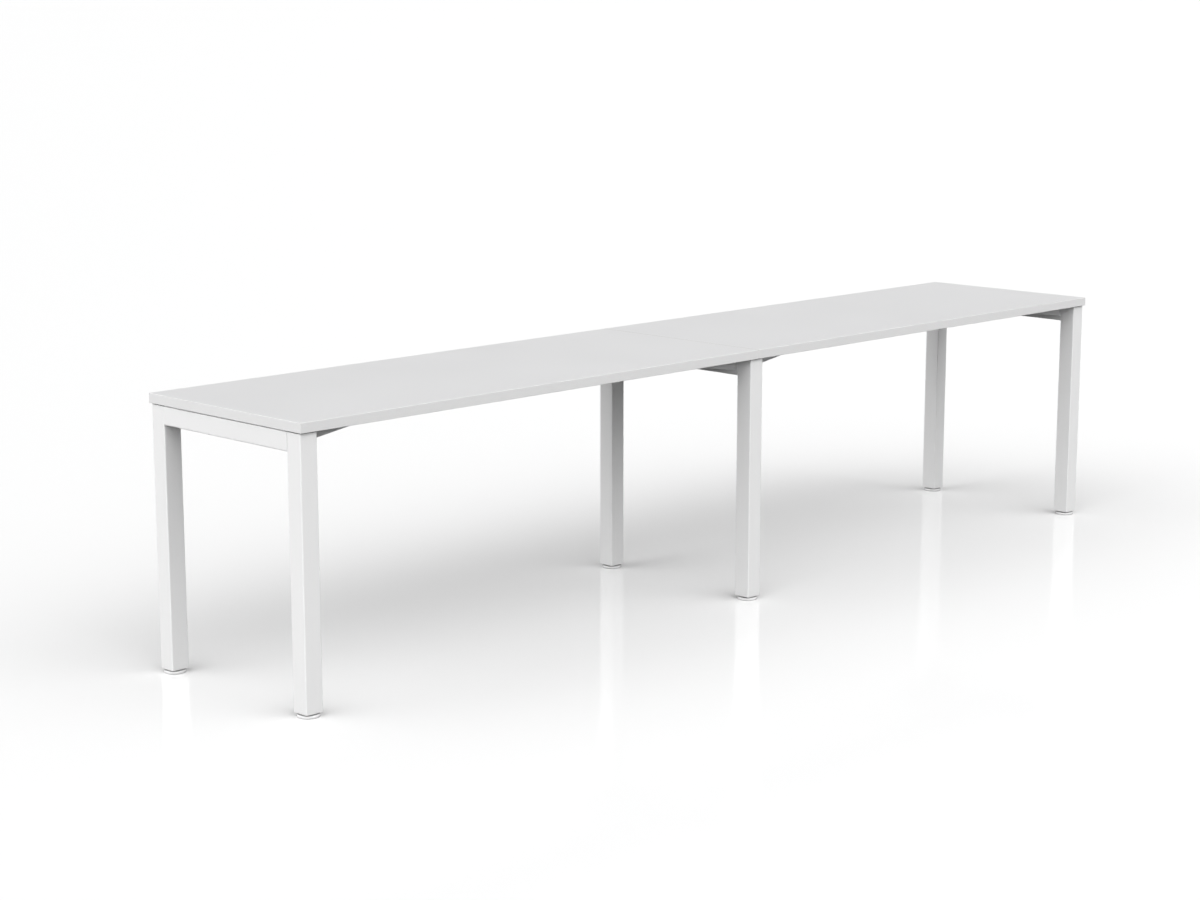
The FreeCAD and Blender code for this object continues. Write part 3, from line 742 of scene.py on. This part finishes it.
class DESK_OT_studs(bpy.types.Operator):
    """Threaded studs with a hexagon collar, in place of the plain ones"""

    bl_idname = "desk.studs"
    bl_label = "Threaded studs"

    def execute(self, context):
        zinc = bpy.data.materials["zinc_plate"]
        low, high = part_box(f"glide_stud_{GLIDES[0]}")
        model = threaded_stud(low.z, high.z, (high.y - low.y) / 2)
        for place, stud in zip(GLIDES, copies(model, len(GLIDES))):
            node = f"glide_stud_{place}"
            low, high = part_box(node)
            set_down(stud, ((low.x + high.x) / 2, (low.y + high.y) / 2, 0))
            finish_piece(stud, f"threaded_stud_{place}", zinc, f"stud_{place}")
            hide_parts(node)
        return {"FINISHED"}


class DESK_OT_welds(bpy.types.Operator):
    """Weld beads under the rails and round the ends of the stretchers"""

    bl_idname = "desk.welds"
    bl_label = "Welds"

    def execute(self, context):
        margin = context.scene.desk_detail.weld_margin
        paint = bpy.data.materials["frame_paint"]
        model = rail_weld(*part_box(f"rail_{RAILS[0]}"), margin)
        for name, weld in zip(RAILS, copies(model, len(RAILS))):
            low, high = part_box(f"rail_{name}")
            set_down(weld, ((low.x + high.x) / 2, 0, 0))
            finish_piece(weld, f"weld_rail_{name}", paint, "desk")
        model = stretcher_weld(*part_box("stretcher_left"), margin)
        for name, weld in zip(END_PLATES, copies(model, len(END_PLATES))):
            plate_low, plate_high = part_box(f"end_plate_{name}")
            low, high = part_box(f"stretcher_{name.split('_')[0]}")
            at_low_end = abs(plate_high.x - low.x) < abs(plate_low.x - high.x)
            set_down(weld, (low.x if at_low_end else high.x, 0, 0))
            finish_piece(weld, f"weld_plate_{name}", paint, "desk")
        return {"FINISHED"}


# Stage
def floor_material(stage):
    """Floor that is pale where it is seen, dull in the light it bounces, and clear from below."""
    material, tree, shader = blank_material("pale_floor")
    rays = tree.nodes.new("ShaderNodeLightPath")
    faces = tree.nodes.new("ShaderNodeNewGeometry")
    gloss = tree.nodes.new("ShaderNodeBsdfGlossy")
    polish = tree.nodes.new("ShaderNodeAddShader")
    clear = tree.nodes.new("ShaderNodeBsdfTransparent")
    show = tree.nodes.new("ShaderNodeMixShader")
    reflected = math_node(tree, "MAXIMUM", rays.outputs["Is Glossy Ray"],
                          rays.outputs["Is Transmission Ray"])
    seen = math_node(tree, "MAXIMUM", reflected, rays.outputs["Is Camera Ray"])
    colour = mix_colour(tree, seen, opaque(stage.floor_bounce), opaque(stage.floor_colour))
    feed(tree, shader.inputs["Base Color"], colour)
    shader.inputs["Roughness"].default_value = 1.0
    shader.inputs["Specular IOR Level"].default_value = 0.0
    gloss.inputs["Roughness"].default_value = stage.floor_roughness
    mirrored = mix_colour(tree, rays.outputs["Is Camera Ray"], opaque([0.0] * 3),
                          opaque([stage.floor_gloss] * 3))
    feed(tree, gloss.inputs["Color"], mirrored)
    feed(tree, polish.inputs[0], shader.outputs["BSDF"])
    feed(tree, polish.inputs[1], gloss.outputs["BSDF"])
    feed(tree, show.inputs[0], faces.outputs["Backfacing"])
    feed(tree, show.inputs[1], polish.outputs["Shader"])
    feed(tree, show.inputs[2], clear.outputs["BSDF"])
    feed(tree, tree.nodes["Material Output"].inputs["Surface"], show.outputs["Shader"])
    return material


def studio_world(stage):
    """White to the camera; to the desk, soft light from four sides at three levels."""
    world = bpy.data.worlds.new("studio")
    world.use_nodes = True
    tree = world.node_tree
    background = tree.nodes["Background"]
    rays = tree.nodes.new("ShaderNodeLightPath")
    place = tree.nodes.new("ShaderNodeTexCoord")
    parts = tree.nodes.new("ShaderNodeSeparateXYZ")
    feed(tree, parts.inputs["Vector"], place.outputs["Generated"])
    high_gain = 4.0
    steep_gain = 6.75
    rise = math_node(tree, "MULTIPLY", parts.outputs["Z"], parts.outputs["Z"])
    steepness = math_node(tree, "MULTIPLY", rise, rise)
    levels = [
        (math_node(tree, "SUBTRACT", 1.0, rise), stage.low_light),
        (math_node(tree, "MULTIPLY", rise, high_gain), stage.high_light),
        (math_node(tree, "MULTIPLY", steepness, steep_gain), stage.steep_light)]
    light = 0.0
    sides = [("X", -1.0), ("X", 1.0), ("Y", -1.0), ("Y", 1.0)]
    for side, (axis, sign) in enumerate(sides):
        towards = math_node(tree, "MULTIPLY", parts.outputs[axis], sign, clamp=True)
        lobe = math_node(tree, "MULTIPLY", towards, towards)
        for share, strengths in levels:
            level_lobe = math_node(tree, "MULTIPLY", lobe, share)
            part = math_node(tree, "MULTIPLY", level_lobe, strengths[side])
            light = math_node(tree, "ADD", light, part)
    seen = math_node(tree, "MAXIMUM", light, rays.outputs["Is Camera Ray"])
    feed(tree, background.inputs["Strength"], seen)
    background.inputs["Color"].default_value = (1.0, 1.0, 1.0, 1.0)
    bpy.context.scene.world = world


class DESK_OT_stage(bpy.types.Operator):
    """Floor, soft studio light and the camera"""

    bl_idname = "desk.stage"
    bl_label = "Stage"

    def execute(self, context):
        stage = context.scene.desk_stage
        deselect()
        bpy.ops.mesh.primitive_plane_add(size=stage.floor_size)
        floor = context.object
        floor.name = "floor"
        floor.data.materials.append(floor_material(stage))
        studio_world(stage)
        bpy.ops.object.camera_add(
            location=stage.camera_place,
            rotation=(math.pi / 2 - stage.camera_pitch, 0.0, -stage.camera_yaw))
        camera = context.object
        camera.data.lens = stage.camera_lens
        camera.data.clip_end = stage.floor_size * 2
        context.scene.camera = camera
        context.scene.view_settings.view_transform = "Standard"
        return {"FINISHED"}


class DESK_PT_panel(bpy.types.Panel):
    """Sidebar panel that lists the desk's settings and pieces"""

    bl_idname = "DESK_PT_panel"
    bl_label = "Two-person desk"
    bl_space_type = "VIEW_3D"
    bl_region_type = "UI"
    bl_category = "Desk"

    def draw(self, context):
        for group_name, settings in SETTINGS.items():
            column = self.layout.column()
            for name in settings.__annotations__:
                column.prop(getattr(context.scene, group_name), name)
        for operator in OPERATORS:
            self.layout.operator(operator.bl_idname)


SETTINGS = {"desk_finish": DeskFinish, "desk_detail": DeskDetail, "desk_stage": DeskStage}
OPERATORS = [DESK_OT_worktops, DESK_OT_edging, DESK_OT_frames, DESK_OT_wings, DESK_OT_feet,
             DESK_OT_plugs, DESK_OT_fasteners, DESK_OT_studs, DESK_OT_welds, DESK_OT_stage]
CLASSES = [*SETTINGS.values(), *OPERATORS, DESK_PT_panel]


def register():
    """Add the classes, and the settings to the scene."""
    for item in CLASSES:
        bpy.utils.register_class(item)
    for name, settings in SETTINGS.items():
        setattr(bpy.types.Scene, name, PointerProperty(type=settings))


def unregister():
    """Take the settings and the classes away again."""
    for name in SETTINGS:
        delattr(bpy.types.Scene, name)
    for item in reversed(CLASSES):
        bpy.utils.unregister_class(item)


def main():
    """Dress the desk, add its small details and set the stage."""
    register()
    bpy.ops.desk.worktops()
    bpy.ops.desk.edging()
    bpy.ops.desk.frames()
    bpy.ops.desk.wings()
    bpy.ops.desk.feet()
    bpy.ops.desk.plugs()
    bpy.ops.desk.fasteners()
    bpy.ops.desk.studs()
    bpy.ops.desk.welds()
    bpy.ops.desk.stage()


if __name__ == "__main__":
    main()
